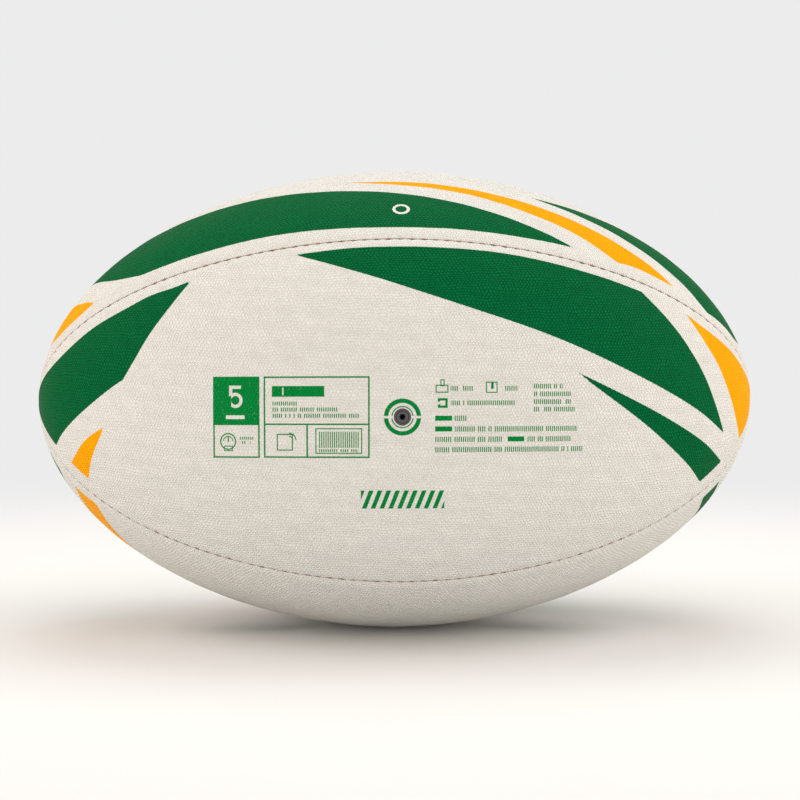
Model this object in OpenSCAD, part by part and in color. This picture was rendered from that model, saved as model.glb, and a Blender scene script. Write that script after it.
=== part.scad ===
// Size 5 rugby ball: four laminated panels hand-stitched edge to edge round a bladder.
// +X runs along the ball, from the centre to one end. The valve looks along -Y. +Z is up.

/* [Ball] */
// Half of the length, from the centre to one end
half_length = 146.4; // [140:0.2:150]
// Half of the width at the middle
half_width = 93.6; // [92:0.2:98]
// Exponent of the outline: 2 is an ellipse, and less is leaner
outline_power = 1.91; // [1.85:0.01:2]

/* [Panels] */
// Thickness of the rubber skin
skin_t = 1.3; // [1:0.1:1.6]
// Thickness of each of the three cloth plies behind it
ply_t = 0.4; // [0.3:0.05:0.5]
// How far below the surface the turned-in panel edges reach
flange_depth = 6; // [5:0.25:7]
// Gap between two panels' turned-in edges
seam_gap = 0.1; // [0.05:0.05:0.2]

/* [Stitching] */
// Thickness of the waxed thread
thread_t = 0.8; // [0.6:0.1:1]
// Distance from one stitch to the next along the seam
stitch_pitch = 4.5; // [4:0.5:7]
// Depth of the stitch holes below the surface
stitch_depth = 3.4; // [3.2:0.1:4]
// Distance along the seam from each end of the ball to the first stitch
stitch_start = 12; // [9:1:20]

/* [Bladder] */
// Wall thickness of the bladder
bladder_t = 0.7; // [0.5:0.1:1]
// Clearance between the bladder and what it bears on
bladder_clear = 0.15; // [0.1:0.05:0.3]

/* [Valve] */
// Diameter of the valve's neck, which shows in the front panel
neck_d = 6.3; // [6:0.1:7]
// Depth of the neck's outer face below the ball's surface
neck_recess = 0.35; // [0.2:0.05:0.6]
// Diameter of the boss that stands into the bladder
boss_d = 11; // [10:0.5:13]
// Depth of the boss's inner end below the ball's surface
boss_reach = 22; // [20:0.5:26]
// Diameter of the flange that is bonded inside the bladder
flange_d = 34; // [28:1:40]
// Thickness of that flange
flange_t = 1.2; // [0.8:0.1:1.6]
// Diameter of the cloth patch that backs the valve hole
patch_d = 30; // [24:1:36]
// Thickness of that patch
patch_t = 0.5; // [0.3:0.1:0.6]
// Diameter of the soft plug that holds the needle
plug_d = 4.7; // [4.4:0.1:4.9]
// Length of the plug
plug_length = 17; // [15:0.5:18]
// Diameter of the plug's needle hole
needle_d = 2; // [1.8:0.1:2.2]
// Depth of the needle hole, past which the plug is only slit
needle_depth = 10; // [8:0.5:12]

/* [Hidden] */
PANELS = ["front", "top", "back", "bottom"];
PLIES = ["outer_ply", "middle_ply", "inner_ply"];
// Turn about +X that carries a panel from its drawn place, facing -Z, to its own
PANEL_TURN = [-90, 180, 90, 0];
// Seam k lies between panel k and panel k + 1, an eighth of a turn back from panel k
SEAMS = ["front_top_thread", "top_back_thread", "back_bottom_thread", "bottom_front_thread"];

bands = 40;                 // straight bands along the outline
far = 2 * half_length;      // longer than anything that it cuts
casing_t = skin_t + len(PLIES) * ply_t;
run_inset = seam_gap / 2 + casing_t;          // from the seam plane to the thread's run
rib_inset = run_inset + thread_t + bladder_clear;
bladder_depth = casing_t + patch_t + bladder_clear;
bore_depth = plug_length + neck_recess;
hole_clear = 0.05;          // all round the neck, where it passes through the layers
plug_clear = 0.05;          // all round the plug, in the valve's bore
edge_round = 0.3;           // chamfer on the valve's rubber edges

// ---- Outline -------------------------------------------------------------

// Point of the outline, [along, out], at a turn of 0 to 180 degrees from the +X end
function outline(turn) = [
    half_length * sign(cos(turn)) * pow(abs(cos(turn)), 2 / outline_power),
    half_width * pow(sin(turn), 2 / outline_power),
];

// Unit normal of the outline at that point
function outward(turn) =
    let (p = outline(turn),
         g = [sign(p.x) * pow(abs(p.x) / half_length, outline_power - 1) / half_length,
              pow(p.y / half_width, outline_power - 1) / half_width])
    g / norm(g);

// Point a depth below the outline
function below(turn, depth) = outline(turn) - depth * outward(turn);

// Distances along the outline and their turns, for placing the stitches evenly
turn_step = 2;
run_table = [
    for (i = 0, run = 0; i <= 180 / turn_step;
         run = run + norm(outline((i + 1) * turn_step) - outline(i * turn_step)), i = i + 1)
        [run, i * turn_step]
];
outline_run = run_table[len(run_table) - 1][0];
function turn_at(run) = lookup(run, run_table);

// ---- Building blocks -----------------------------------------------------

// The solid inside the ball's surface, a depth below it
module inside(depth) {
    rotate([0, 90, 0])
        rotate_extrude($fn = 120)
            polygon([for (i = [0 : bands]) let (p = below(180 * i / bands, depth)) [max(p.y, 0), p.x]]);
}

// The quarter of space that faces -Z, an inset away from both seam planes
module quarter(inset) {
    apex = inset * sqrt(2);
    rotate([0, 90, 0])
        linear_extrude(far + 20, center = true)
            polygon([[apex, 0], [far, far - apex], [far, apex - far]]);
}

// A straight rod or hole along the valve's axis, from a depth to a deeper one
module valve_rod(d, from, to) {
    translate([0, from - half_width, 0])
        rotate([-90, 0, 0])
            cylinder(d = d, h = to - from, $fn = 64);
}

// One layer of a panel, with both long edges turned in along the seams
module layer(panel, depth, t) {
    inset = seam_gap / 2 + depth;
    difference() {
        rotate([PANEL_TURN[panel], 0, 0])
            difference() {
                intersection() {
                    inside(depth);
                    quarter(inset);
                }
                intersection() {
                    inside(depth + t);
                    quarter(inset + t);
                }
                inside(flange_depth);
            }
        if (panel == 0)
            valve_rod(neck_d + 2 * hole_clear, -5, flange_depth);
    }
}

module skin(panel) {
    color([0.87, 0.86, 0.82]) layer(panel, 0, skin_t);
}

module ply(panel, number) {
    color([0.80, 0.77, 0.68]) layer(panel, skin_t + number * ply_t, ply_t);
}

// The run of thread along one side of a seam, drawn in the XZ plane below the axis
module thread_run() {
    first = stitch_start;
    steps = bands;
    turns = [for (i = [0 : steps]) turn_at(first + (outline_run - 2 * first) * i / steps)];
    rotate([-90, 0, 0])
        linear_extrude(thread_t)
            polygon(concat(
                [for (i = [0 : steps]) below(turns[i], stitch_depth - thread_t / 2)],
                [for (i = [steps : -1 : 0]) below(turns[i], stitch_depth + thread_t / 2)]));
}

// A saddle stitch: a run of thread on each side of the two turned-in edges,
// joined through them at every stitch hole
module seam_thread(seam) {
    stitches = floor((outline_run - 2 * stitch_start) / stitch_pitch);
    first = (outline_run - stitches * stitch_pitch) / 2;
    color([0.50, 0.33, 0.27])
        rotate([PANEL_TURN[seam] - 45, 0, 0])
            union() {
                for (side = [0, 1])
                    mirror([0, side, 0])
                        translate([0, run_inset, 0])
                            thread_run();
                for (i = [0 : stitches])
                    let (p = below(turn_at(first + i * stitch_pitch), stitch_depth))
                        translate([p.x, 0, -p.y])
                            rotate([90, 0, 0])
                                cylinder(d = thread_t * 0.9, h = 2 * run_inset + thread_t,
                                         center = true, $fn = 24);
            }
}

// The bladder's volume: pressed against the lining, and creased over the four seams
module bladder_volume(inward) {
    inside(flange_depth + bladder_clear + inward);
    for (turn = PANEL_TURN)
        rotate([turn, 0, 0])
            intersection() {
                inside(bladder_depth + inward);
                quarter(rib_inset + inward);
            }
}

module bladder() {
    color([0.13, 0.13, 0.13])
        difference() {
            bladder_volume(0);
            bladder_volume(bladder_t);
            valve_rod(neck_d + 2 * hole_clear, 0, flange_depth + 4);
        }
}

// A disc that follows the ball's curve round the valve, between two depths
module curved_disc(d, from, to) {
    difference() {
        intersection() {
            inside(from);
            valve_rod(d, 0, 3 * flange_depth);
        }
        inside(to);
    }
}

module valve_patch() {
    color([0.74, 0.71, 0.62])
        difference() {
            curved_disc(patch_d, casing_t, casing_t + patch_t);
            valve_rod(neck_d + 2 * hole_clear, 0, flange_depth);
        }
}

// Half of a section turned about the valve's axis: points are [radius, depth]
module turned_on_valve_axis(points) {
    translate([0, -half_width, 0])
        rotate([-90, 0, 0])
            rotate_extrude($fn = 64)
                polygon(points);
}

module valve_body() {
    bore_r = plug_d / 2 + plug_clear;
    seat = bladder_depth + bladder_t;
    slit_w = 0.2;
    color([0.25, 0.25, 0.26])
        difference() {
            union() {
                curved_disc(flange_d, seat, seat + flange_t);
                turned_on_valve_axis([
                    [0, neck_recess],
                    [neck_d / 2 - edge_round, neck_recess],
                    [neck_d / 2, neck_recess + edge_round],
                    [neck_d / 2, seat + flange_t / 2],
                    [boss_d / 2, seat + flange_t / 2],
                    [boss_d / 2 - 1, boss_reach - 1.5],
                    [boss_d / 2 - 2.5, boss_reach],
                    [0, boss_reach],
                ]);
            }
            turned_on_valve_axis([
                [0, -1],
                [bore_r + edge_round, -1],
                [bore_r + edge_round, neck_recess],
                [bore_r, neck_recess + edge_round],
                [bore_r, bore_depth + 0.1],
                [0, bore_depth + 0.1],
            ]);
            translate([-needle_d / 2, -half_width + bore_depth, -slit_w / 2])
                cube([needle_d, boss_reach, slit_w]);
        }
}

module valve_plug() {
    slit_w = 0.2;
    plug_r = plug_d / 2;
    needle_r = needle_d / 2;
    mouth = 0.5;            // depth of the flared mouth that guides the needle in
    color([0.20, 0.20, 0.21])
        difference() {
            turned_on_valve_axis([
                [needle_r + mouth, neck_recess],
                [plug_r - edge_round, neck_recess],
                [plug_r, neck_recess + edge_round],
                [plug_r, bore_depth - 1],
                [plug_r - 0.6, bore_depth],
                [0, bore_depth],
                [0, neck_recess + needle_depth + needle_r],
                [needle_r, neck_recess + needle_depth],
                [needle_r, neck_recess + mouth],
            ]);
            translate([-needle_r, neck_recess + needle_depth - half_width, -slit_w / 2])
                cube([needle_d, plug_length, slit_w]);
        }
}

// ---- Nodes ---------------------------------------------------------------

for (panel = [0 : 3]) {
    skin(panel);
    for (number = [0 : 2])
        ply(panel, number);
    seam_thread(panel);
}
bladder();
valve_patch();
valve_body();
valve_plug();
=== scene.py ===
"""Looks of a size 5 rugby ball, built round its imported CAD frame.

The ball's surface is laid flat, panel by panel. "run" is the distance along the surface from the
ball's middle, positive towards +X. "across" is the distance from the panel's centre line, positive
the way the panels are numbered: front, top, back, bottom. "depth" is the distance below the CAD
surface. Working sizes are millimetres, and meshes are made in metres.
"""
import math

import bpy
import numpy as np
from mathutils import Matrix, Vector


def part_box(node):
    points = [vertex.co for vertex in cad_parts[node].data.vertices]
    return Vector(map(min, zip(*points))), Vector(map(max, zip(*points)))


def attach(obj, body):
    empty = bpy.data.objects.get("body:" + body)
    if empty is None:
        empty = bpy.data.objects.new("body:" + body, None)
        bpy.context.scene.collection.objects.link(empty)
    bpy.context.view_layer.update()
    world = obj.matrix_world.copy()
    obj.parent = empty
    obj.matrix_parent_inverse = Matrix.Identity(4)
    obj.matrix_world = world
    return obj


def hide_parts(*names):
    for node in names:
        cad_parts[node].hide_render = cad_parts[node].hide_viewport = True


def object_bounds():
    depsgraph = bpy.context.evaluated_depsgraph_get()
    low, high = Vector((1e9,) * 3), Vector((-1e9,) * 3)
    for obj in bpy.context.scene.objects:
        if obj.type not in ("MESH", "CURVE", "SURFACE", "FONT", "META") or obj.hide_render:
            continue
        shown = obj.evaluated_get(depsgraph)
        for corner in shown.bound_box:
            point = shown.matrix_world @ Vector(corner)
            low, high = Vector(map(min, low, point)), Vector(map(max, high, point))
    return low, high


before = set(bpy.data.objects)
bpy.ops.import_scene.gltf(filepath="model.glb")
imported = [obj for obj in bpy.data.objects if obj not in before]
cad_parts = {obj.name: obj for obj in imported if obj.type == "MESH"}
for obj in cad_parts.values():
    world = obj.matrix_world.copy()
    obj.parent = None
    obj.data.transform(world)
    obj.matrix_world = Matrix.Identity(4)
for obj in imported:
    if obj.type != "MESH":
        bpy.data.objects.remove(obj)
cad_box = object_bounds()

# ---- Sizes, in millimetres -------------------------------------------------------------------

MM = 0.001
HALF_LENGTH = cad_box[1].x / MM
HALF_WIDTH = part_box("top_skin")[1].z / MM
OUTLINE_POWER = 1.91        # as in part.scad

PANELS = ("front", "top", "back", "bottom")
SEAMS = ("front_top", "top_back", "back_bottom", "bottom_front")
QUARTER = math.pi / 2       # turn from one panel to the next
HALF_PANEL = math.pi / 4

SKIN_T = 1.3                # as in part.scad
FLANGE_DEPTH = 6.0
FLANGE_CLEAR = 0.05
TIP_RADIUS = 0.6            # the panels' points stop this far from the ball's axis

PIMPLE_PITCH = 1.36         # of the rubber's pebble grain
PIMPLE_HEIGHT = 0.35
SPACING = 1.0               # between vertices on a panel's face
ROW_STEP = SPACING * math.sqrt(3) / 2

LIP_RADIUS = 0.65           # rounded edge of a panel, where it turns down into the seam
LIP_GAP = 0.05              # from that edge to the seam plane, between stitches
LIP_OPENING = 0.26          # how much further it opens at a stitch
LIP_STEPS = 6
FACE_EDGE = LIP_GAP + LIP_OPENING + LIP_RADIUS + 0.15    # inset of the face's first vertices
CREASE_SPREAD = (0.28, 0.82)    # width of the brown line, wax with painted shade, between stitches, and what a stitch adds
UNEVEN_FADE = 8.0           # the face's unevenness fades out over this distance from a seam
CHANNEL_FOOT = 3.6          # depth at which the flanges meet below the thread
CHANNEL = ((0.50, 2.0), (0.50, 3.0), (FLANGE_CLEAR, CHANNEL_FOOT))   # its wall: inset, depth
FACE_DEPTH = 0.06           # general level of a panel's face
TIP_SHARE = 0.62            # share of the radius that an edge takes up at the panel's points, at most
MOST_INSET = 0.70           # an inset's share of the radius, at most
NO_CREASE = 5.0             # inset given to vertices that are away from the seam line
LINING_ROWS = 6             # rows of the face to one row of the lining

STITCH_PITCH = 4.5
STITCH_START = 12.0
THREAD_RADIUS = 0.34
THREAD_DEPTH = 2.3          # of its hidden run
STITCH_RISE = 1.45          # how far each stitch stands up from that run
THREAD_SWAY = 0.14
STITCH_REACH = 1.25         # how far to each side of its middle a stitch stands up
THREAD_TAIL = 1.5           # length of thread past the last stitch
THREAD_TAPER = 0.8          # length over which its ends thin
THREAD_TWIST = 2.6          # radians a millimetre
THREAD_STEP = 0.35          # between the rings of its mesh
THREAD_SIDES = 10
PUCKER = 0.95               # how far along the seam a stitch pulls

VALVE_HOLE = 3.2            # radius of the hole in the front skin
VALVE_PATCH = 4.6           # radius round it that is meshed in rings
LINING_PATCH = 9.0          # the same on the skin's inner face
PATCH_SEARCH = 12.0         # a patch's open edge lies at most this far outside it
VALVE_STEPS = 72
VALVE_RIM = (               # radius, depth
    (4.15, FACE_DEPTH),
    (3.8, FACE_DEPTH),
    (3.5, 0.10),
    (3.3, 0.22),
    (VALVE_HOLE, 0.42),
    (VALVE_HOLE, SKIN_T),
)

# Seeds of the random draws, to which the panel's or seam's number is added
ALONG_SEED, OVER_SEED, STITCH_SEED, UNEVEN_SEED = 20, 30, 40, 50


# ---- The ball's surface ----------------------------------------------------------------------

def outline_table(steps=4000):
    """Run, distance along the axis, radius and unit normal, from the -X end to the +X end."""
    turn = np.linspace(math.pi, 0, steps + 1)
    cosine, sine = np.cos(turn), np.abs(np.sin(turn))
    x = HALF_LENGTH * np.sign(cosine) * np.abs(cosine) ** (2 / OUTLINE_POWER)
    r = HALF_WIDTH * sine ** (2 / OUTLINE_POWER)
    slope_x = np.sign(x) * (np.abs(x) / HALF_LENGTH) ** (OUTLINE_POWER - 1) / HALF_LENGTH
    slope_r = (r / HALF_WIDTH) ** (OUTLINE_POWER - 1) / HALF_WIDTH
    size = np.hypot(slope_x, slope_r)
    run = np.concatenate([[0], np.cumsum(np.hypot(np.diff(x), np.diff(r)))])
    return run - run[-1] / 2, x, r, slope_x / size, slope_r / size


RUN, ALONG, RADIUS, NORMAL_X, NORMAL_R = outline_table()
END_RUN = RUN[-1]
TIP_RUN = np.interp(-TIP_RADIUS, -RADIUS[len(RUN) // 2:], RUN[len(RUN) // 2:])
STITCHES = int((2 * END_RUN - 2 * STITCH_START) / STITCH_PITCH) + 1
STITCH_RUNS = (np.arange(STITCHES) - (STITCHES - 1) / 2) * STITCH_PITCH


def radius_at(run, depth=0.0):
    return np.interp(run, RUN, RADIUS) - depth * np.interp(run, RUN, NORMAL_R)


def surface(run, angle, depth):
    """Points, in metres, at an angle round +X from facing -Y towards +Z."""
    x = np.interp(run, RUN, ALONG) - depth * np.interp(run, RUN, NORMAL_X)
    r = radius_at(run, depth)
    return np.stack([x, -r * np.cos(angle), r * np.sin(angle)], axis=-1) * MM


def bell(distance, width):
    return np.exp(-((distance / width) ** 2))


def nearest_stitch(seam, run):
    """How tight the stitch nearest to each place on a seam is, and the distance from it."""
    tightness = np.random.default_rng(STITCH_SEED + seam).uniform(0.45, 1.1, STITCHES)
    number = np.rint(run / STITCH_PITCH + (STITCHES - 1) / 2).astype(int)
    nearest = np.clip(number, 0, STITCHES - 1)
    return tightness[nearest], run - STITCH_RUNS[nearest]


def stitch_pull(seam, run):
    """0 between stitches to about 1 at each, with some pulled tighter than others."""
    tightness, distance = nearest_stitch(seam, run)
    return tightness * bell(distance, PUCKER)


def pull_beside(panel, run, local):
    """The stitches' pull on a panel, from whichever of its two seams is on that side."""
    return np.where(local > 0, stitch_pull(panel, run), stitch_pull((panel - 1) % 4, run))


def seam_relief(inset, pull):
    """Depth of the surface beside a seam: a hollow, a soft roll, and then the crease."""
    crease = (0.26 + 0.30 * pull) * bell(inset, 1.7)
    roll = 0.10 * bell(inset - 3.4, 1.7)
    hollow = 0.07 * bell(inset - 7.5, 2.4)
    return crease - roll + hollow


def waves(run, across, seed, wavelengths, size):
    """A smooth wander: a sum of waves, each with its own wavelength, heading and phase."""
    rng = np.random.default_rng(seed)
    total = np.zeros_like(run)
    for length in wavelengths:
        heading, phase = rng.uniform(0, 2 * math.pi, 2)
        forward = run * math.cos(heading) + across * math.sin(heading)
        total += np.sin(2 * math.pi / length * forward + phase)
    return total * size / len(wavelengths)


def drift(run, across, panel):
    """How far the rubber's grain has wandered from its even rows, each way."""
    along = waves(run, across, ALONG_SEED + panel, (7, 9.5, 13, 19, 31), 0.95)
    over = waves(run, across, OVER_SEED + panel, (6.5, 9, 14, 21, 37), 0.95)
    return along, over


# ---- Meshing ---------------------------------------------------------------------------------

def zip_rows(a, b, place_a, place_b):
    """Triangles between two rows of vertices, each sorted by its place along the row."""
    last_b = np.searchsorted(place_b[1:], place_a[1:], side="left")
    last_a = np.searchsorted(place_a[1:], place_b[1:], side="right")
    from_a = np.stack([a[:-1], a[1:], b[last_b]], axis=1)
    from_b = np.stack([a[last_a], b[1:], b[:-1]], axis=1)
    return np.concatenate([from_a, from_b])


def grid_triangles(grid):
    """Triangles of a grid of vertex numbers, turned the same way as zip_rows turns them."""
    a, b, c, d = grid[:-1, :-1], grid[:-1, 1:], grid[1:, 1:], grid[1:, :-1]
    halves = np.stack([a, b, c], -1), np.stack([a, c, d], -1)
    return np.concatenate([half.reshape(-1, 3) for half in halves])


def hole_loop(triangles, near):
    """Vertices along the open edge that lies near a hole, given a test for each vertex."""
    edges = np.concatenate([triangles[:, [0, 1]], triangles[:, [1, 2]], triangles[:, [2, 0]]])
    edges = edges[near[edges].all(axis=1)]
    low, high = edges.min(axis=1), edges.max(axis=1)
    pairs, counts = np.unique(np.stack([low, high], axis=1), axis=0, return_counts=True)
    return np.unique(pairs[counts == 1])


def close_ring(loop, angles):
    """A loop sorted by angle, with its first vertex again at the end."""
    order = np.argsort(angles)
    loop, angles = loop[order], angles[order]
    return np.append(loop, loop[0]), np.append(angles, angles[0] + 2 * math.pi)


def new_object(name, points, triangles, attributes=None):
    """A smooth-shaded mesh object made from numpy arrays, in metres."""
    mesh = bpy.data.meshes.new(name)
    mesh.vertices.add(len(points))
    mesh.vertices.foreach_set("co", points.astype(np.float32).ravel())
    mesh.loops.add(triangles.size)
    mesh.loops.foreach_set("vertex_index", triangles.astype(np.int32).ravel())
    mesh.polygons.add(len(triangles))
    mesh.polygons.foreach_set("loop_start", np.arange(0, triangles.size, 3, dtype=np.int32))
    mesh.polygons.foreach_set("use_smooth", np.ones(len(triangles), dtype=bool))
    for key, values in (attributes or {}).items():
        if values.ndim == 2:
            layer = mesh.attributes.new(key, "FLOAT_VECTOR", "POINT")
            layer.data.foreach_set("vector", values.astype(np.float32).ravel())
        else:
            layer = mesh.attributes.new(key, "FLOAT", "POINT")
            layer.data.foreach_set("value", values.astype(np.float32))
    mesh.update(calc_edges=True)
    mesh.validate()
    obj = bpy.data.objects.new(name, mesh)
    bpy.context.scene.collection.objects.link(obj)
    return obj


class Points:
    """A panel's vertices, collected in parts: run, angle from the centre line, depth and inset."""

    def __init__(self):
        self.count = 0
        self.parts = []

    def add(self, run, local, depth, inset=NO_CREASE):
        """Returns the new vertices' numbers."""
        columns = np.broadcast_arrays(run, local, depth, inset)
        self.parts.append(np.stack([np.ravel(c) for c in columns], axis=1))
        first, self.count = self.count, self.count + columns[0].size
        return np.arange(first, self.count).reshape(columns[0].shape)

    def all(self):
        return np.concatenate(self.parts).T


def local_angle(run, side, inset, depth):
    """Angle from the panel's centre line of a point at an inset from the seam plane on that side."""
    return side * (HALF_PANEL - np.arcsin(np.clip(inset / radius_at(run, depth), 0, MOST_INSET)))


def tip_shrink(run, depth=0.0):
    """How much a panel's edges narrow towards its points."""
    return np.minimum(1, TIP_SHARE * radius_at(run, depth) / FACE_EDGE)


def edge_columns(panel, side, run):
    """Insets and depths, column by column, from the lip's top down to the flange."""
    seam = panel if side > 0 else (panel - 1) % 4
    pull = stitch_pull(seam, run)
    shrink = tip_shrink(run)
    for turn in np.linspace(0, math.pi / 2, LIP_STEPS):
        inset = LIP_GAP + LIP_OPENING * pull + LIP_RADIUS * (1 - math.sin(turn))
        depth = LIP_RADIUS * (1 - math.cos(turn)) + seam_relief(inset, pull)
        yield inset * shrink, depth
    for inset, depth in CHANNEL:
        yield inset * shrink, np.full_like(run, depth)


def add_edge(points, panel, side, run):
    """The rolled edge on one side of the panel: a grid of vertex numbers, one column per row of run."""
    columns = []
    for inset, depth in edge_columns(panel, side, run):
        columns.append(points.add(run, local_angle(run, side, inset, depth), depth, inset))
    return np.stack(columns, axis=1)


def add_face(points, panel, row_numbers):
    """The panel's face between its rolled edges: a list of each row's vertex numbers."""
    runs, places = [], []
    for number in row_numbers:
        run = number * ROW_STEP
        radius = radius_at(run)
        limit = radius * (HALF_PANEL - math.asin(min(FACE_EDGE / radius, MOST_INSET)))
        offset = 0.5 * SPACING * (number % 2)
        first = math.ceil((-limit - offset) / SPACING)
        across = np.arange(first, (limit - offset) / SPACING) * SPACING + offset
        runs.append(np.full_like(across, run))
        places.append(across)
    run, across = np.concatenate(runs), np.concatenate(places)
    radius = radius_at(run)
    local = across / radius
    inset = radius * np.sin(HALF_PANEL - np.abs(local))
    relief = seam_relief(inset, pull_beside(panel, run, local))
    uneven = waves(run, across, UNEVEN_SEED + panel, (17, 23, 31, 43), 0.12)
    uneven *= np.clip((inset - FACE_EDGE) / UNEVEN_FADE, 0, 1)
    numbers = points.add(run, local, relief + uneven + FACE_DEPTH, inset)
    return np.split(numbers, np.cumsum([len(place) for place in places])[:-1])


def add_lining(points, rows, columns=15):
    """The skin's inner face, from the foot of one flange to the foot of the other, as a coarse grid."""
    run = rows[:, None]
    shrink = tip_shrink(run, FLANGE_DEPTH)
    near, inner = FLANGE_CLEAR * shrink, (FLANGE_CLEAR + SKIN_T) * shrink
    flange = ((near, FLANGE_DEPTH), (inner, FLANGE_DEPTH), (inner, CHANNEL_FOOT))
    grids = [points.add(run, local_angle(run, -1, inset, depth), depth) for inset, depth in flange]
    edge = local_angle(run, 1, inner, SKIN_T)
    grids.append(points.add(run, edge * np.linspace(-1, 1, columns), SKIN_T))
    grids += [points.add(run, local_angle(run, 1, inset, depth), depth) for inset, depth in reversed(flange)]
    return np.concatenate(grids, axis=1)


def add_valve_rings(points):
    """Rings of vertices over the rim of the valve's hole and down through it, and their bearings."""
    bearings = np.linspace(-math.pi, math.pi, VALVE_STEPS, endpoint=False)
    rings = []
    for radius, depth in VALVE_RIM:
        run, across = radius * np.cos(bearings), radius * np.sin(bearings)
        rings.append(points.add(run, across / radius_at(run), depth))
    return np.stack([np.append(ring, ring[0]) for ring in rings]), np.append(bearings, math.pi)


def cut_valve_hole(points, outer, inner):
    """Opens the hole for the valve's neck, with a rounded rim, and joins the two faces through it."""
    run, local = points.all()[:2]
    across = radius_at(run) * local
    reach, bearing = np.hypot(run, across), np.arctan2(across, run)
    rings, ring_bearings = add_valve_rings(points)

    made = []
    outside = (outer, rings[0], VALVE_PATCH, True)
    inside = (inner, rings[-1], LINING_PATCH, False)
    for triangles, ring, clear, flip in (outside, inside):
        kept = triangles[(reach[triangles] > clear).all(axis=1)]
        loop = hole_loop(kept, reach < clear + PATCH_SEARCH)
        loop, loop_bearings = close_ring(loop, bearing[loop])
        strip = zip_rows(ring, loop, ring_bearings, loop_bearings)
        made.append(kept)
        made.append(strip[:, ::-1] if flip else strip)
    made.append(grid_triangles(rings))
    return np.concatenate(made)


# ---- Printed areas, laid flat on each panel: (run, across) ------------------------------------
# Each shape is a list of sides. A side is a smooth line through its points, and sides meet in corners.

FRONT_GREEN_SWEEP = [
    [(-40, 65.4), (-20, 68.1), (0, 68.9), (20, 68.2), (40, 66), (60, 61.6), (80, 55.7), (98, 49.4)],
    [(98, 49.4), (110, 36.8), (120, 25), (130, 11.6), (136, 1.5), (143, -10.8)],
    [(143, -10.8), (125, -0.5), (100, 11.4), (60, 29.2), (20, 43.8), (-10, 54.8), (-40, 65.4)],
]
FRONT_GREEN_BLADE = [
    [(67.5, 15.8), (90, 5.5), (110, -3.9), (130, -14.3), (143.2, -24)],
    [(143.2, -24), (129.3, -32)],
    [(129.3, -32), (120, -22.1), (100, -6.5), (80, 7.1), (67.5, 15.8)],
]
FRONT_GOLD_END = [
    [(121, 39.4), (130, 33.7), (150, 22.7), (165, 12.9), (180, 3)],
    [(180, 3), (174, -4.5), (168, -9.5), (158.8, -15.2)],
    [(158.8, -15.2), (150, -0.3), (140, 15.2), (130, 27.7), (121, 39.4)],
]
FRONT_GREEN_END = [
    [(-82.5, 54.1), (-90, 51.1), (-100, 47.8), (-110, 42.9), (-130, 33), (-150, 20.6), (-170, 9.6),
     (-186, 0)],
    [(-186, 0), (-175, -6.1), (-165, -11.8), (-155.3, -17)],
    [(-155.3, -17), (-150, -11.5), (-140, -4.5), (-120, 7.8), (-112.4, 12.1)],
    [(-112.4, 12.1), (-107, 20), (-100, 30.5), (-82.5, 54.1)],
]
FRONT_GOLD_FLASH = [
    [(-122.5, -6.8), (-130, -10.7), (-136, -15), (-143.9, -23.9)],
    [(-143.9, -23.9), (-132.9, -30.2)],
    [(-132.9, -30.2), (-130.2, -20.5), (-122.5, -6.8)],
]
TOP_GREEN_SWEEP = [
    [(-139, 0), (-130, -17), (-120, -31), (-110, -40.5), (-100, -46.4), (-70, -56.2), (-30, -64.4),
     (0, -67.3), (30, -65.1), (50, -61.9), (68.9, -57.3)],
    [(68.9, -57.3), (30, -49.7), (0, -43.6), (-30, -35.6), (-60, -25.6), (-95, -12.8), (-120, -3), (-139, 0)],
]
TOP_GOLD_BLADE = [
    [(-21.5, -28), (-8, -30.6), (10, -31.7), (30, -33.5), (50, -35), (70, -36.4), (90, -38),
     (105, -39.1), (116, -40.5)],
    [(116, -40.5), (105, -45), (95, -48.7), (88.3, -52.3)],
    [(88.3, -52.3), (80, -49.9), (70, -46.9), (50, -43.6), (30, -39.7), (10, -36.6), (-5, -33.7),
     (-21.5, -28)],
]
TOP_GREEN_BLADE = [
    [(54, -26.3), (70, -28.2), (90, -29.5), (110, -30.8), (125, -32), (134.7, -33.6)],
    [(134.7, -33.6), (142, -28.3), (150, -22.7), (157, -17.8), (162, -11.5), (166, -4)],
    [(166, -4), (150, -6), (130, -8.8), (110, -12.6), (90, -16.8), (70, -22.3), (54, -26.3)],
]
TOP_GOLD_END = [
    [(-130.5, -33), (-134.5, -27), (-140, -19.8), (-145, -12.2), (-149.5, -3)],
    [(-149.5, -3), (-169, -2)],
    [(-169, -2), (-164, -9.5), (-155, -19.1), (-145, -26), (-138, -29.8), (-130.5, -33)],
]
BOTTOM_GOLD_FLASH = [
    [(-143.7, 27.2), (-130.3, 35.4)],
    [(-130.3, 35.4), (-120, 24.3), (-111, 14), (-98, 1)],
    [(-98, 1), (-124, 8), (-137, 17), (-143.7, 27.2)],
]
BOTTOM_GREEN_BLADE = [
    [(145.2, 26.8), (134.2, 32.9)],
    [(134.2, 32.9), (131, 18), (115, 5), (71, -12)],
    [(71, -12), (104, -2), (129, 8), (141, 18), (145.2, 26.8)],
]
BOTTOM_GREEN_LEAF = [
    [(-94, 8), (-82, 16), (-66, 19), (-50, 16), (-32, 5)],
    [(-32, 5), (-61, 3), (-94, 8)],
]


def turned(shape, along=1, over=1):
    """The shape mirrored end for end, side for side, or both."""
    return [[(along * run, over * across) for run, across in side] for side in shape]


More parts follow.
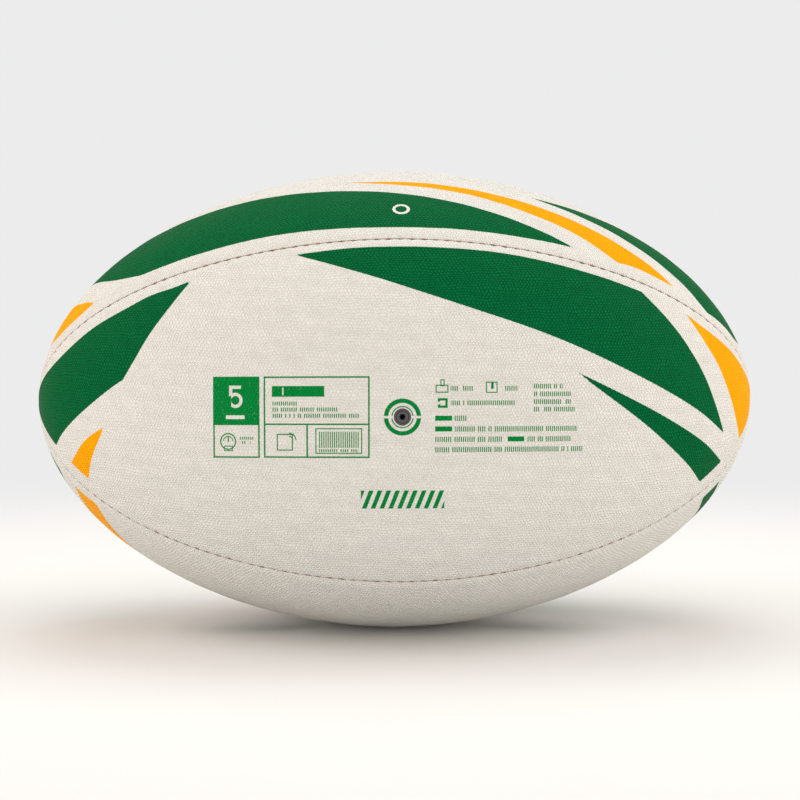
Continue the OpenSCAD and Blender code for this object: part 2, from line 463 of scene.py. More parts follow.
FRONT_PRINT = {
    "green": [FRONT_GREEN_SWEEP, FRONT_GREEN_BLADE, FRONT_GREEN_END],
    "gold": [FRONT_GOLD_END, FRONT_GOLD_FLASH],
}
TOP_HALF = {
    "green": [TOP_GREEN_SWEEP, TOP_GREEN_BLADE],
    "gold": [TOP_GOLD_BLADE, TOP_GOLD_END],
}
PRINTS = {
    "front": FRONT_PRINT,
    "top": {ink: [*shapes, *(turned(s, -1, -1) for s in shapes)] for ink, shapes in TOP_HALF.items()},
    "back": {ink: [turned(s, -1, -1) for s in shapes] for ink, shapes in FRONT_PRINT.items()},
    "bottom": {
        "green": [
            turned(FRONT_GREEN_SWEEP, 1, -1),
            turned(FRONT_GREEN_END, 1, -1),
            BOTTOM_GREEN_BLADE,
            BOTTOM_GREEN_LEAF,
            turned(BOTTOM_GREEN_LEAF, -1, 1),
        ],
        "gold": [turned(FRONT_GOLD_END, 1, -1), BOTTOM_GOLD_FLASH],
    },
}
PRINT_REACH = 3.0           # distances from a printed edge are kept up to this


def smooth_side(side, step=1.5):
    """A Catmull-Rom curve through a side's points."""
    p = np.array(side, float)
    if len(p) == 2:
        return p[:1]
    p = np.concatenate([[2 * p[0] - p[1]], p, [2 * p[-1] - p[-2]]])
    pieces = []
    for a, b, c, d in zip(p, p[1:], p[2:], p[3:]):
        t = np.linspace(0, 1, max(2, int(np.hypot(*(c - b)) / step)), endpoint=False)[:, None]
        pieces.append(
            0.5 * (2 * b + (c - a) * t + (2 * a - 5 * b + 4 * c - d) * t**2 + (3 * b - a - 3 * c + d) * t**3)
        )
    return np.concatenate(pieces)


def signed_distance(spots, shape):
    """Distance in millimetres from each flat spot to the shape's edge, negative inside."""
    corners = np.concatenate([smooth_side(side) for side in shape])
    low, high = corners.min(axis=0) - PRINT_REACH, corners.max(axis=0) + PRINT_REACH
    near = ((spots > low) & (spots < high)).all(axis=1)
    distance = np.full(len(spots), PRINT_REACH)
    p = spots[near]
    best = np.full(len(p), PRINT_REACH**2)
    inside = np.zeros(len(p), bool)
    for a, b in zip(corners, np.roll(corners, -1, axis=0)):
        edge, offset = b - a, p - a
        t = np.clip(offset @ edge / (edge @ edge), 0, 1)
        best = np.minimum(best, ((offset - t[:, None] * edge) ** 2).sum(axis=1))
        if a[1] != b[1]:
            level = (a[1] > p[:, 1]) != (b[1] > p[:, 1])
            inside ^= level & (p[:, 0] < a[0] + edge[0] * (p[:, 1] - a[1]) / edge[1])
    distance[near] = np.where(inside, -1, 1) * np.sqrt(best)
    return distance


# ---- Panels ----------------------------------------------------------------------------------

def outer_triangles(points, left, right, face):
    """The panel's face with its rolled edges, down to the feet of its flanges."""
    run, local = points.all()[:2]
    across = radius_at(run) * local
    rows = [np.concatenate([left[i, :1], middle, right[i, :1]]) for i, middle in enumerate(face)]
    strips = [zip_rows(a, b, across[a], across[b]) for a, b in zip(rows, rows[1:])]
    strips += [grid_triangles(left[:, ::-1]), grid_triangles(right)]
    return np.concatenate(strips)[:, ::-1]


def closing_triangles(left, right, face, row_runs, lining, lining_runs):
    """What joins the outer and inner faces: the flanges' feet, and a cap at each of the panel's points."""
    closing = [
        zip_rows(left[:, -1], lining[:, 0], row_runs, lining_runs)[:, ::-1],
        zip_rows(right[:, -1], lining[:, -1], row_runs, lining_runs),
    ]
    for end in (0, -1):
        rim = np.concatenate([left[end, ::-1], face[end], right[end]])
        cap = zip_rows(rim, lining[end], np.linspace(0, 1, len(rim)), np.linspace(0, 1, lining.shape[1]))
        closing.append(cap if end == 0 else cap[:, ::-1])
    return np.concatenate(closing)


def skin_attributes(panel, run, local, depth, inset):
    """What the material reads at each vertex: how near the seam is, flat places, and printed edges."""
    across = radius_at(run) * local
    along, over = drift(run, across, panel)
    between, added = CREASE_SPREAD
    attributes = {
        "seam": inset / (between + added * pull_beside(panel, run, local)),
        "flat": np.stack([run, across, depth], axis=1),
        "rows": np.stack([run + along, across + over, depth], axis=1),
    }
    spots = np.stack([run, across], axis=1)
    for ink, shapes in PRINTS[PANELS[panel]].items():
        distance = np.min([signed_distance(spots, shape) for shape in shapes], axis=0)
        attributes[ink] = np.where(depth < SKIN_T, distance, PRINT_REACH)
    return attributes


def build_skin(panel):
    """One panel's rubber skin: a closed solid with rolled edges and flanges, without its grain."""
    name = PANELS[panel]
    points = Points()
    half = int(TIP_RUN / ROW_STEP)
    row_numbers = np.arange(-half, half + 1)
    row_runs = row_numbers * ROW_STEP
    left = add_edge(points, panel, -1, row_runs)
    right = add_edge(points, panel, 1, row_runs)
    face = add_face(points, panel, row_numbers)
    outer = outer_triangles(points, left, right, face)

    lining_runs = np.append(row_runs[:-1:LINING_ROWS], row_runs[-1])
    lining = add_lining(points, lining_runs)
    inner = grid_triangles(lining)
    closing = closing_triangles(left, right, face, row_runs, lining, lining_runs)
    if name == "front":
        faces = cut_valve_hole(points, outer, inner)
    else:
        faces = np.concatenate([outer, inner])

    used, triangles = np.unique(np.concatenate([faces, closing]), return_inverse=True)
    run, local, depth, inset = points.all()[:, used]
    where = surface(run, panel * QUARTER + local, depth)
    attributes = skin_attributes(panel, run, local, depth, inset)
    skin = new_object(name + "_panel", where, triangles.reshape(-1, 3), attributes)
    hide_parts(name + "_skin")
    return skin


# ---- Stitching -------------------------------------------------------------------------------

def thread_line(seam, run):
    """The thread's centre line, and the directions out of the ball and across the seam."""
    tightness, from_stitch = nearest_stitch(seam, run)
    rise = STITCH_RISE * (0.75 + 0.25 * tightness) * bell(from_stitch, STITCH_REACH)
    sway = THREAD_SWAY * np.sin(2 * math.pi * from_stitch / STITCH_PITCH)
    angle = seam * QUARTER + HALF_PANEL
    sideways = np.array([0, math.sin(angle), math.cos(angle)])
    outward = surface(run, angle, 0.0) - surface(run, angle, 1.0)
    outward /= np.linalg.norm(outward, axis=1)[:, None]
    centre = surface(run, angle, THREAD_DEPTH - rise) + sway[:, None] * MM * sideways
    return centre, outward, sideways


def tube_triangles(grid):
    """A closed tube's triangles, from its rings of vertex numbers."""
    triangles = [grid_triangles(np.concatenate([grid, grid[:, :1]], axis=1))]
    for end, row in ((0, grid[0]), (1, grid[-1])):
        fan = np.stack([np.full(len(row) - 2, row[0]), row[1:-1], row[2:]], axis=1)
        triangles.append(fan if end else fan[:, ::-1])
    return np.concatenate(triangles)


def build_thread(seam):
    """The waxed thread of one seam: it runs hidden between the panels and shows at each stitch."""
    end_run = STITCH_RUNS[-1] + THREAD_TAIL
    run = np.arange(-end_run, end_run, THREAD_STEP)
    centre, outward, sideways = thread_line(seam, run)
    turn = np.linspace(0, 2 * math.pi, THREAD_SIDES, endpoint=False)
    ring = np.cos(turn)[None, :, None] * outward[:, None] + np.sin(turn)[None, :, None] * sideways
    taper = np.clip((end_run - np.abs(run)) / THREAD_TAPER, 0.3, 1)[:, None, None]
    rings = centre[:, None] + THREAD_RADIUS * MM * taper * ring

    grid = np.arange(len(run) * THREAD_SIDES).reshape(len(run), THREAD_SIDES)
    twist = np.broadcast_to(run[:, None] * THREAD_TWIST + turn, grid.shape).ravel()
    name = SEAMS[seam]
    thread = new_object(name + "_stitches", rings.reshape(-1, 3), tube_triangles(grid), {"twist": twist})
    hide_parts(name + "_thread")
    return thread


# ---- Materials -------------------------------------------------------------------------------

class Nodes:
    """Short names for making a material's nodes. Inputs are sockets or plain numbers."""

    def __init__(self, name):
        self.material = bpy.data.materials.new(name)
        self.material.use_nodes = True
        self.tree = self.material.node_tree
        self.shader = self.tree.nodes["Principled BSDF"]

    def put(self, socket, value):
        if isinstance(value, bpy.types.NodeSocket):
            self.tree.links.new(value, socket)
        else:
            socket.default_value = value

    def node(self, kind, **settings):
        node = self.tree.nodes.new(kind)
        for key, value in settings.items():
            setattr(node, key, value)
        return node

    def math(self, operation, *values, clamp=False):
        node = self.node("ShaderNodeMath", operation=operation, use_clamp=clamp)
        for socket, value in zip(node.inputs, values):
            self.put(socket, value)
        return node.outputs[0]

    def attribute(self, name, output="Fac"):
        return self.node("ShaderNodeAttribute", attribute_name=name).outputs[output]

    def split(self, vector):
        node = self.node("ShaderNodeSeparateXYZ")
        self.put(node.inputs[0], vector)
        return node.outputs[0], node.outputs[1], node.outputs[2]

    def ramp(self, value, low, high, to_low=0.0, to_high=1.0):
        """A smooth step from to_low at low to to_high at high."""
        node = self.node("ShaderNodeMapRange", interpolation_type="SMOOTHSTEP")
        for socket, part in zip(node.inputs, (value, low, high, to_low, to_high)):
            self.put(socket, part)
        return node.outputs[0]

    def blend(self, factor, a, b):
        node = self.node("ShaderNodeMix", data_type="RGBA")
        self.put(node.inputs[0], factor)
        self.put(node.inputs[6], a)
        self.put(node.inputs[7], b)
        return node.outputs[2]

    def noise(self, scale, detail=2.0, vector=None):
        node = self.node("ShaderNodeTexNoise")
        self.put(node.inputs["Vector"], vector or self.position())
        self.put(node.inputs["Scale"], scale)
        self.put(node.inputs["Detail"], detail)
        return node.outputs[0]

    def position(self):
        return self.node("ShaderNodeTexCoord").outputs["Object"]

    def bump(self, height, strength, distance):
        node = self.node("ShaderNodeBump")
        self.put(node.inputs["Height"], height)
        self.put(node.inputs["Strength"], strength)
        self.put(node.inputs["Distance"], distance)
        self.tree.links.new(node.outputs[0], self.shader.inputs["Normal"])

    def set(self, **values):
        for key, value in values.items():
            self.put(self.shader.inputs[key.replace("_", " ")], value)


INK_LINE = 0.62             # width of the boxes' ruled lines
FINE_LINE = 0.42            # width of the small signs' lines
INK_BOW = 0.000175          # the print is pressed on flat, so its rows bow by this times the run squared
TICK_PITCH = 0.8            # of the small print
TICK_WIDTH = 0.42
GAP_SHARE = 0.12            # share of the ticks that are left out


class Ink:
    """A flat drawing made of signed distances in millimetres, joined up shape by shape."""

    def __init__(self, nodes, u, v):
        self.nodes, self.u, self.v = nodes, u, v
        self.total = None

    def band(self, value, middle, half):
        """How far a value is outside the band that reaches half to each side of the middle."""
        n = self.nodes
        return n.math("SUBTRACT", n.math("ABSOLUTE", n.math("SUBTRACT", value, middle)), half)

    def box(self, left, right, low, high):
        across = self.band(self.u, (left + right) / 2, (right - left) / 2)
        up = self.band(self.v, (low + high) / 2, (high - low) / 2)
        return self.nodes.math("MAXIMUM", across, up)

    def frame(self, left, right, low, high, line):
        """A box drawn as a line of that width."""
        n = self.nodes
        middle = n.math("ADD", self.box(left, right, low, high), line / 2)
        return n.math("SUBTRACT", n.math("ABSOLUTE", middle), line / 2)

    def disc(self, u, v, radius):
        n = self.nodes
        across = n.math("SUBTRACT", self.u, u)
        up = n.math("SUBTRACT", self.v, v)
        square = n.math("ADD", n.math("MULTIPLY", across, across), n.math("MULTIPLY", up, up))
        return n.math("SUBTRACT", n.math("SQRT", square), radius)

    def ring(self, u, v, inner, outer):
        n = self.nodes
        middle = self.disc(u, v, (inner + outer) / 2)
        return n.math("SUBTRACT", n.math("ABSOLUTE", middle), (outer - inner) / 2)

    def only(self, a, b):
        return self.nodes.math("MAXIMUM", a, b)

    def without(self, a, b):
        return self.nodes.math("MAXIMUM", a, self.nodes.math("MULTIPLY", b, -1.0))

    def add(self, shape):
        self.total = shape if self.total is None else self.nodes.math("MINIMUM", self.total, shape)

    def stripes(self, pitch, share, slant=0.0):
        """Upright stripes, inked over that share of their pitch, leaning by slant."""
        n = self.nodes
        place = n.math("ADD", self.u, n.math("MULTIPLY", self.v, -slant)) if slant else self.u
        phase = self.band(n.math("FRACT", n.math("DIVIDE", place, pitch)), 0.5, share / 2)
        return n.math("MULTIPLY", phase, pitch)

    def small_print(self, left, right, low, high):
        """A row of plain upright ticks, all alike, with a gap here and there."""
        n = self.nodes
        cell = n.math("DIVIDE", self.u, TICK_PITCH)
        spot = n.node("ShaderNodeCombineXYZ")
        n.put(spot.inputs[0], n.math("FLOOR", cell))
        n.put(spot.inputs[1], low)
        dice = n.node("ShaderNodeTexWhiteNoise", noise_dimensions="2D")
        n.put(dice.inputs["Vector"], spot.outputs[0])
        middle = n.math("ABSOLUTE", n.math("SUBTRACT", n.math("FRACT", cell), 0.5))
        tick = n.math("SUBTRACT", n.math("MULTIPLY", middle, TICK_PITCH), TICK_WIDTH / 2)
        gap = n.ramp(dice.outputs["Value"], GAP_SHARE, GAP_SHARE + 0.01, 2.0, -2.0)
        self.add(self.only(self.box(left, right, low, high), n.math("MAXIMUM", tick, gap)))


def draw_size_box(ink):
    """The solid box with a plain size numeral, and the cell below it with a dial."""
    box = ink.box(-72.2, -53.7, -3.0, 15.2)
    box = ink.without(box, ink.box(-65.7, -61.0, 10.6, 11.8))             # the numeral 5: its flag,
    box = ink.without(box, ink.box(-65.7, -64.4, 7.9, 11.8))              # its stem
    bowl = ink.only(ink.ring(-63.2, 6.3, 1.65, 2.85), ink.box(-64.8, -60.0, 3.2, 9.4))
    box = ink.without(box, bowl)                                          # and its bowl
    box = ink.without(box, ink.box(-67.0, -59.6, -0.7, 0.7))
    ink.add(box)
    ink.add(ink.frame(-72.2, -53.7, -15.5, 15.2, INK_LINE))
    ink.add(ink.ring(-66.2, -9.2, 2.75, 3.25))
    ink.add(ink.only(ink.ring(-66.2, -9.2, 1.75, 2.1), ink.box(-69, -62, -9, -5)))
    ink.add(ink.box(-66.4, -65.9, -9.4, -7.0))
    ink.add(ink.frame(-67.9, -64.3, -12.9, -10.8, 0.4))
    ink.small_print(-61.5, -55.9, -8.5, -7.4)
    ink.small_print(-61.5, -57.2, -10.0, -9.0)


def draw_maker_box(ink):
    """The ruled box: a plain bar, lines of small print, a tag sign and a bar pattern."""
    ink.add(ink.frame(-52.1, -12.1, -15.4, 15.2, INK_LINE))
    ink.add(ink.box(-52.1, -12.1, -2.95, -2.95 + INK_LINE))
    ink.add(ink.box(-35.8, -35.8 + INK_LINE, -15.4, -2.7))
    ink.add(ink.without(ink.box(-48.9, -29.0, 7.6, 11.6), ink.box(-44.9, -44.4, 8.2, 11.0)))
    ink.small_print(-48.9, -39.1, 4.3, 5.8)
    ink.small_print(-48.9, -24.0, 2.1, 3.6)
    ink.small_print(-48.9, -15.0, -0.2, 1.3)
    ink.add(ink.frame(-47.1, -40.9, -12.6, -6.2, 0.45))
    for radius in (1.2, 2.4):
        arc = ink.ring(-42.4, -8.6, radius, radius + 0.45)
        ink.add(ink.only(arc, ink.box(-42.4, -38.0, -8.6, -4.0)))
    ink.add(ink.frame(-32.4, -14.9, -13.8, -4.1, FINE_LINE))
    ink.add(ink.only(ink.box(-31.2, -16.2, -11.5, -5.4), ink.stripes(0.8, 0.5)))
    ink.small_print(-31.0, -16.4, -13.1, -12.0)


def draw_valve_rings(ink):
    """Two rings round the valve, split level with its middle."""
    rings = ink.nodes.math("MINIMUM", ink.ring(0, 0, 5.25, 6.9), ink.ring(0, 0, 3.7, 4.15))
    ink.add(ink.without(rings, ink.box(-8, 8, -0.42, 0.42)))


NOTE_LINES = (              # left, right, low, high
    (17.9, 26.5, 9.7, 11.5), (37.4, 43.6, 9.7, 11.5), (17.9, 42.3, 4.3, 6.1),
    (49.5, 61.3, 10.5, 12.3), (49.5, 64.7, 7.6, 9.4), (49.5, 64.7, 4.7, 6.5), (49.5, 66.3, 1.9, 3.7),
    (19.4, 23.8, -1.5, 0.5), (19.5, 67.5, -5.5, -3.5),
    (12.1, 37.9, -9.4, -7.4), (47.1, 65.0, -9.4, -7.4), (12.1, 69.9, -13.3, -11.3),
)


def draw_notes(ink):
    """The unboxed notes right of the valve, with their small signs and tags."""
    ink.add(ink.frame(12.3, 17.1, 9.0, 12.0, FINE_LINE))
    ink.add(ink.frame(14.1, 15.7, 11.4, 14.0, FINE_LINE))
    ink.add(ink.frame(31.2, 35.7, 8.9, 13.1, FINE_LINE))
    ink.add(ink.box(33.2, 34.2, 10.4, 12.9))
    ink.add(ink.without(ink.frame(13.1, 16.8, 3.4, 7.0, 0.9), ink.box(12, 14.6, 4.7, 5.7)))
    ink.add(ink.box(12.1, 18.5, -1.4, 0.5))
    ink.add(ink.box(12.1, 18.5, -5.4, -3.5))
    ink.add(ink.box(39.6, 46.1, -9.3, -7.4))
    for left, right, low, high in NOTE_LINES:
        ink.small_print(left, right, low, high)


def draw_plain_band(ink):
    """A row of slanted bars in place of a name."""
    ink.add(ink.only(ink.box(-15.4, 15.9, -35.7, -28.2), ink.stripes(3.3, 0.52, slant=0.35)))


WHITE = (0.795, 0.785, 0.750, 1)
# Painted shade: the colour that the grain's hollows are darkened towards, in place of the shade that falls in
# them
HOLLOW_SHADE_GREY = (0.42, 0.405, 0.37, 1)
GREEN = (0.0, 0.148, 0.045, 1)
# Painted shade: the green as it is darkened in the grain's hollows
GREEN_HOLLOW_SHADE = (0.0, 0.075, 0.020, 1)
GOLD = (0.95, 0.41, 0.0, 1)
# Painted shade: the gold as it is darkened in the grain's hollows
GOLD_HOLLOW_SHADE = (0.90, 0.34, 0.0, 1)
INK_GREEN = (0.001, 0.215, 0.040, 1)
# Partly the brown of the thread's wax and partly painted shade in the seam's crease
CREASE_WAX_AND_SHADE = (0.33, 0.175, 0.10, 1)
CREASE_WIDTH = 0.80         # where the brown of the thread's wax, with painted shade of the crease, starts to show, as the seam attribute
PATCHINESS = 0.9            # how much of the grain's height is patchy wear
PRINT_WANDER = 0.10         # how far a printed edge reaches out over a pimple, for its height
TOP_RINGS = ((0.7, -56.0), (-0.7, 56.0))    # run and across of the white rings on the top panel


def pebble_grain(n):
    """Height of the grain: 1 on a pimple's top and -0.5 in the hollows between."""
    along, over, _ = n.split(n.attribute("rows", "Vector"))
    row_spacing = PIMPLE_PITCH * math.sqrt(3) / 2
    turn = 2 * math.pi / row_spacing
    tilt = n.math("MULTIPLY", along, turn * math.sqrt(3) / 2)
    half = n.math("MULTIPLY", over, turn / 2)
    rows = (n.math("ADD", half, half), n.math("ADD", half, tilt), n.math("SUBTRACT", half, tilt))
    first, second, third = (n.math("COSINE", row) for row in rows)
    total = n.math("ADD", n.math("ADD", first, second), third)
    return n.math("MULTIPLY", total, 1 / 3)


def print_areas(n, colour, unshaded_tops, wander):
    """The gold and green areas over a colour. They are darker in the grain's hollows, which is painted shade.
    """
    for area, light, dark in (("gold", GOLD, GOLD_HOLLOW_SHADE), ("green", GREEN, GREEN_HOLLOW_SHADE)):
        mask = n.ramp(n.math("ADD", n.attribute(area), wander), 0.24, 0.04)
        # Painted shade: each print colour is darker where the grain is low
        colour = n.blend(mask, colour, n.blend(unshaded_tops, dark, light))
    return colour


def print_drawings(n, colour, drawings, worn, wander):
    """Fine green drawings over a colour, thin in the grain's hollows and kept off the flanges."""
    run, across, depth = n.split(n.attribute("flat", "Vector"))
    bow = n.math("MULTIPLY", n.math("MULTIPLY", run, run), INK_BOW)
    ink = Ink(n, run, n.math("ADD", across, bow))
    for draw in drawings:
        draw(ink)
    mask = n.ramp(n.math("ADD", ink.total, n.math("MULTIPLY", wander, 0.35)), 0.09, -0.09)
    cover = n.ramp(worn, -0.95, -0.45, 0.35, 1.0)
    on_face = n.math("LESS_THAN", depth, SKIN_T)
    mask = n.math("MULTIPLY", n.math("MULTIPLY", mask, cover), on_face)
    return n.blend(mask, colour, INK_GREEN)


def print_rings(n, colour, places, wander):
    """A white ring at each place, over a colour."""
    run, across, _ = n.split(n.attribute("flat", "Vector"))
    ink = Ink(n, run, across)
    for u, v in places:
        mask = n.ramp(n.math("ADD", ink.ring(u, v, 2.2, 3.4), wander), 0.12, -0.12)
        colour = n.blend(mask, colour, WHITE)
    return colour


def panel_rubber(name, drawings=(), white_rings=()):
    """Pebble-grained rubber with painted shade in the grain's hollows, printed on the tops of its pimples
    more than in the hollows.
    """
    n = Nodes(name)
    grain = pebble_grain(n)
    patchy = n.math("SUBTRACT", n.noise(700, 2.0), 0.5)
    worn = n.math("ADD", grain, n.math("MULTIPLY", patchy, PATCHINESS))
    wander = n.math("MULTIPLY", n.math("SUBTRACT", 0.2, worn), PRINT_WANDER)

    tone = n.noise(38, 3.0)
    # Painted shade: 1 on the pimples' tops and 0 in the hollows, which are painted darker as if shaded
    unshaded_tops = n.ramp(worn, -0.7, 0.6)
    white_over_painted_shade = n.math("MULTIPLY", n.ramp(unshaded_tops, 0.0, 1.0, 0.62, 1.0), n.ramp(tone, 0.3, 0.7, 0.98, 1.0))
    # The crease beside a seam is painted brown: the thread's wax, with painted shade where the lips close
    crease = n.ramp(n.attribute("seam"), CREASE_WIDTH, 0.25, 0.0, 0.9)
    colour = n.blend(white_over_painted_shade, HOLLOW_SHADE_GREY, WHITE)
    colour = n.blend(crease, colour, CREASE_WAX_AND_SHADE)
    colour = print_areas(n, colour, unshaded_tops, wander)
    if drawings:
        colour = print_drawings(n, colour, drawings, worn, wander)
    if white_rings:
        colour = print_rings(n, colour, white_rings, wander)

    n.set(Base_Color=colour, Roughness=n.ramp(tone, 0.3, 0.7, 0.44, 0.52), Specular_IOR_Level=0.02)
    height = n.math("ADD", n.ramp(grain, -0.5, 0.8), n.math("MULTIPLY", patchy, 0.5))
    n.bump(height, 1.0, PIMPLE_HEIGHT * MM)
    return n.material


def woven_cloth(name, light, dark, threads_per_mm):
    """A plain weave that follows the ball: one set of threads along it and one round it. Its low spots are
    painted darker, as shade.
    """
    n = Nodes(name)
    x, y, z = n.split(n.position())
    around = n.math("MULTIPLY", n.math("ARCTAN2", z, y), HALF_WIDTH * MM)
    turn = 2 * math.pi * threads_per_mm / MM
    warp = n.math("SINE", n.math("MULTIPLY", x, turn))
    weft = n.math("SINE", n.math("MULTIPLY", around, turn))
    weave = n.math("MULTIPLY", warp, weft)
    fray = n.noise(420, 3.0)
    # Painted shade where the weave is low, over a random tone from the fray noise
    tone = n.math("ADD", n.math("MULTIPLY", weave, 0.28), fray)
    n.set(
        Base_Color=n.blend(n.ramp(tone, 0.2, 0.9), dark, light),
        Roughness=n.ramp(fray, 0.2, 0.8, 0.82, 0.95),
        Sheen_Weight=0.25,
        Specular_IOR_Level=0.2,
    )
    n.bump(weave, 0.5, 0.0001)
    return n.material


def waxed_thread(name):
    """Twisted thread: the plies' twist runs round it, with painted shade in the grooves between the plies,
    and wax darkens some of it.
    """
    n = Nodes(name)
    twist = n.math("SINE", n.attribute("twist"))
    wax = n.noise(260, 3.0)
    light = n.blend(n.ramp(wax, 0.35, 0.65), (0.28, 0.13, 0.075, 1), (0.42, 0.22, 0.14, 1))
    n.set(
        # Painted shade: the thread is darker in the grooves of its twist
        Base_Color=n.blend(n.ramp(twist, -1.0, 0.4), (0.12, 0.055, 0.03, 1), light),
        Roughness=n.ramp(wax, 0.3, 0.7, 0.45, 0.7),
        Specular_IOR_Level=0.4,
    )
    n.bump(twist, 0.6, 0.00012)
    return n.material


def moulded_rubber(name, light, dark, roughness, speck_scale):
    """Soft rubber with a fine matt skin and a little dust."""
    n = Nodes(name)
    cloud = n.noise(90, 4.0)
    speck = n.noise(speck_scale, 2.0)
    tone = n.math("MULTIPLY", n.ramp(cloud, 0.3, 0.7), n.ramp(speck, 0.25, 0.75, 0.55, 1.0))
    n.set(
        Base_Color=n.blend(tone, dark, light),
        Roughness=n.ramp(cloud, 0.3, 0.7, roughness - 0.06, roughness + 0.06),
        Specular_IOR_Level=0.4,
    )
    n.bump(speck, 0.3, 0.00008)
    return n.material


def paint(obj, material):
    obj.data.materials.clear()
    obj.data.materials.append(material)


def dress_cad_nodes():
    """Procedural materials for the pieces that keep their CAD shape."""
    ply = woven_cloth("ply_cloth", (0.70, 0.66, 0.56, 1), (0.40, 0.36, 0.28, 1), 0.8)
    patch = woven_cloth("patch_canvas", (0.62, 0.58, 0.47, 1), (0.34, 0.30, 0.22, 1), 0.6)
    bladder = moulded_rubber("bladder_butyl", (0.060, 0.058, 0.055, 1), (0.018, 0.018, 0.018, 1), 0.55, 700)
    valve = moulded_rubber("valve_rubber", (0.105, 0.103, 0.108, 1), (0.062, 0.061, 0.066, 1), 0.52, 2200)
    plug = moulded_rubber("plug_rubber", (0.088, 0.086, 0.092, 1), (0.048, 0.047, 0.052, 1), 0.48, 2600)
    own = {"bladder": bladder, "valve_patch": patch, "valve_body": valve, "valve_plug": plug}
    for name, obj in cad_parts.items():
        if name.endswith("_ply"):
            paint(obj, ply)
        elif name in own:
            paint(obj, own[name])


# ---- Studio ----------------------------------------------------------------------------------

FOCAL_PX = 2146             # on an image 800 wide
IMAGE_PX = 800
SENSOR = 36.0
CAMERA_DISTANCE = 0.8864
CAMERA_RISE = math.radians(4.1)
CAMERA_YAW = math.radians(1.56)
CAMERA_SHIFT = (0.0055, -0.0012)    # as the photographer framed it

FLOOR_RADIUS = 0.95         # in metres
FLOOR_FADE = (0.20, 0.62)   # it fades out between these distances from the ball's middle
FLOOR_GAP = 0.00005         # between it and the ball


def make_camera():
    data = bpy.data.cameras.new("camera")
    data.sensor_width = SENSOR
    data.lens = FOCAL_PX / IMAGE_PX * SENSOR
    data.shift_x, data.shift_y = CAMERA_SHIFT
    camera = bpy.data.objects.new("camera", data)
    aim = Vector((
        math.sin(CAMERA_YAW) * math.cos(CAMERA_RISE),
        math.cos(CAMERA_YAW) * math.cos(CAMERA_RISE),
        -math.sin(CAMERA_RISE),
    ))
    camera.location = -CAMERA_DISTANCE * aim
    camera.rotation_mode = "QUATERNION"
    camera.rotation_quaternion = aim.to_track_quat("-Z", "Y")
    bpy.context.scene.collection.objects.link(camera)
    bpy.context.scene.camera = camera


def disc_mesh(name, radius, height, rings=24, sides=96):
    """A flat disc of rings of quads round a fan."""
    verts, faces = [(0, 0, height)], []
    for ring in range(1, rings + 1):
        reach = radius * ring / rings
        for side in range(sides):
            turn = 2 * math.pi * side / sides
            verts.append((reach * math.cos(turn), reach * math.sin(turn), height))
    for side in range(sides):
        faces.append((0, 1 + side, 1 + (side + 1) % sides))
    for ring in range(rings - 1):
        first = 1 + ring * sides
        for side in range(sides):
            after = (side + 1) % sides
            faces.append((first + side, first + sides + side, first + sides + after, first + after))
    mesh = bpy.data.meshes.new(name)
    mesh.from_pydata(verts, [], faces)
    return mesh


def make_floor():
    """A pale disc that the ball lies on, which fades out into the background."""
    floor = bpy.data.objects.new("floor", disc_mesh("floor", FLOOR_RADIUS, cad_box[0].z - FLOOR_GAP))
    bpy.context.scene.collection.objects.link(floor)
    n = Nodes("floor_paper")
    x, y, _ = n.split(n.position())
    away = n.math("SQRT", n.math("ADD", n.math("MULTIPLY", x, x), n.math("MULTIPLY", y, y)))
    n.set(
        Base_Color=n.blend(n.noise(25, 3.0), (0.75, 0.755, 0.755, 1), (0.77, 0.775, 0.775, 1)),
        Roughness=0.75,
        Specular_IOR_Level=0.15,
        Alpha=n.ramp(away, *FLOOR_FADE, 1.0, 0.0),
    )
    floor.data.materials.append(n.material)


SOFTBOXES = (               # name, place in metres, width, watts, colour
    ("top_back", (0.0, 0.45, 1.20), 1.0, 6.0, (0.84, 0.97, 1.0)),
    ("top_front", (0.0, -0.50, 1.15), 1.0, 1.6, (0.74, 0.92, 1.0)),
    ("left", (-1.35, -0.55, 0.28), 0.9, 5.8, (1.0, 0.95, 0.86)),
    ("right", (1.35, -0.55, 0.28), 0.9, 6.4, (1.0, 0.93, 0.83)),
    ("low_front", (0.0, -1.60, 0.02), 0.8, 5.0, (0.90, 0.98, 1.0)),
    ("left_high", (-1.10, 0.10, 0.75), 0.9, 5.6, (1.0, 0.90, 0.88)),
    ("right_high", (1.10, 0.10, 0.75), 0.9, 6.0, (0.98, 0.97, 1.0)),
)


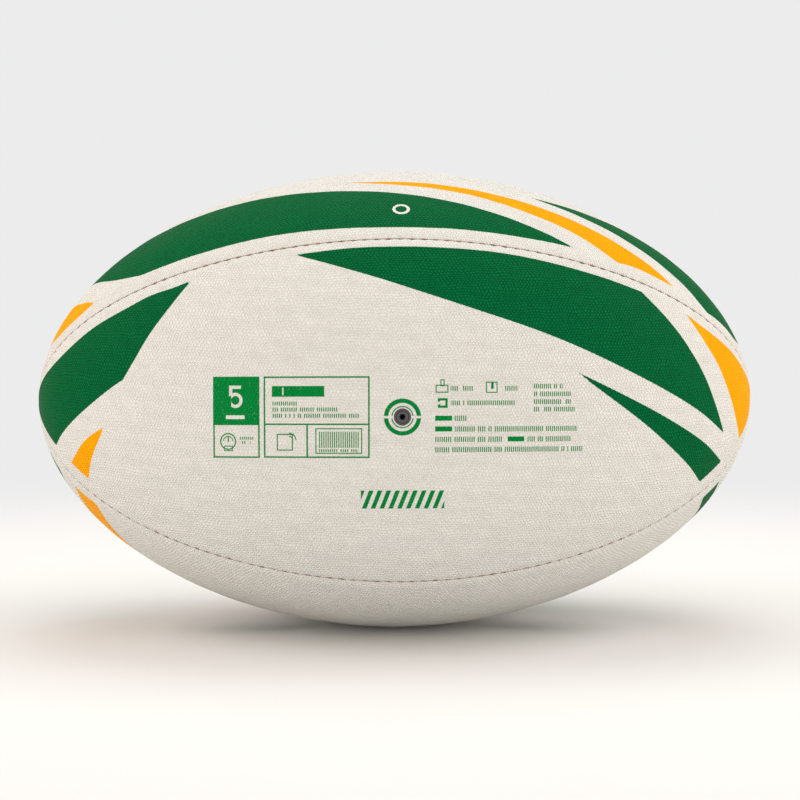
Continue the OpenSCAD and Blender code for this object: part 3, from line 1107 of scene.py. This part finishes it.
def make_light(name, place, size, power, colour):
    data = bpy.data.lights.new(name, "AREA")
    data.shape = "DISK"
    data.size = size
    data.energy = power
    data.color = colour
    light = bpy.data.objects.new(name, data)
    light.location = place
    light.rotation_mode = "QUATERNION"
    light.rotation_quaternion = (-Vector(place)).to_track_quat("-Z", "Y")
    bpy.context.scene.collection.objects.link(light)


def make_world():
    """Warm even light all round, behind a paler backdrop that only the camera sees."""
    world = bpy.data.worlds.new("studio")
    world.use_nodes = True
    tree = world.node_tree
    room = tree.nodes["Background"]
    room.inputs["Color"].default_value = (1.0, 0.875, 0.775, 1)
    room.inputs["Strength"].default_value = 0.66
    backdrop = tree.nodes.new("ShaderNodeBackground")
    backdrop.inputs["Color"].default_value = (1.0, 1.0, 1.005, 1)
    backdrop.inputs["Strength"].default_value = 0.84
    mix = tree.nodes.new("ShaderNodeMixShader")
    rays = tree.nodes.new("ShaderNodeLightPath")
    tree.links.new(rays.outputs["Is Camera Ray"], mix.inputs[0])
    tree.links.new(room.outputs[0], mix.inputs[1])
    tree.links.new(backdrop.outputs[0], mix.inputs[2])
    tree.links.new(mix.outputs[0], tree.nodes["World Output"].inputs["Surface"])
    bpy.context.scene.world = world


# ---- The ball --------------------------------------------------------------------------------

def make_ball():
    front_drawings = (draw_size_box, draw_maker_box, draw_valve_rings, draw_notes, draw_plain_band)
    plain = panel_rubber("panel_rubber")
    printed = panel_rubber("front_panel_rubber", drawings=front_drawings)
    ringed = panel_rubber("top_panel_rubber", white_rings=TOP_RINGS)
    materials = {"front": printed, "top": ringed, "back": plain, "bottom": plain}
    thread = waxed_thread("waxed_thread")
    for number, name in enumerate(PANELS):
        skin = build_skin(number)
        paint(skin, materials[name])
        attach(skin, "ball")
        stitches = build_thread(number)
        paint(stitches, thread)
        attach(stitches, "ball")
    dress_cad_nodes()


make_camera()
make_world()
make_floor()
for name, place, size, power, colour in SOFTBOXES:
    make_light(name, place, size, power, colour)
bpy.context.scene.view_settings.view_transform = "Standard"
make_ball()
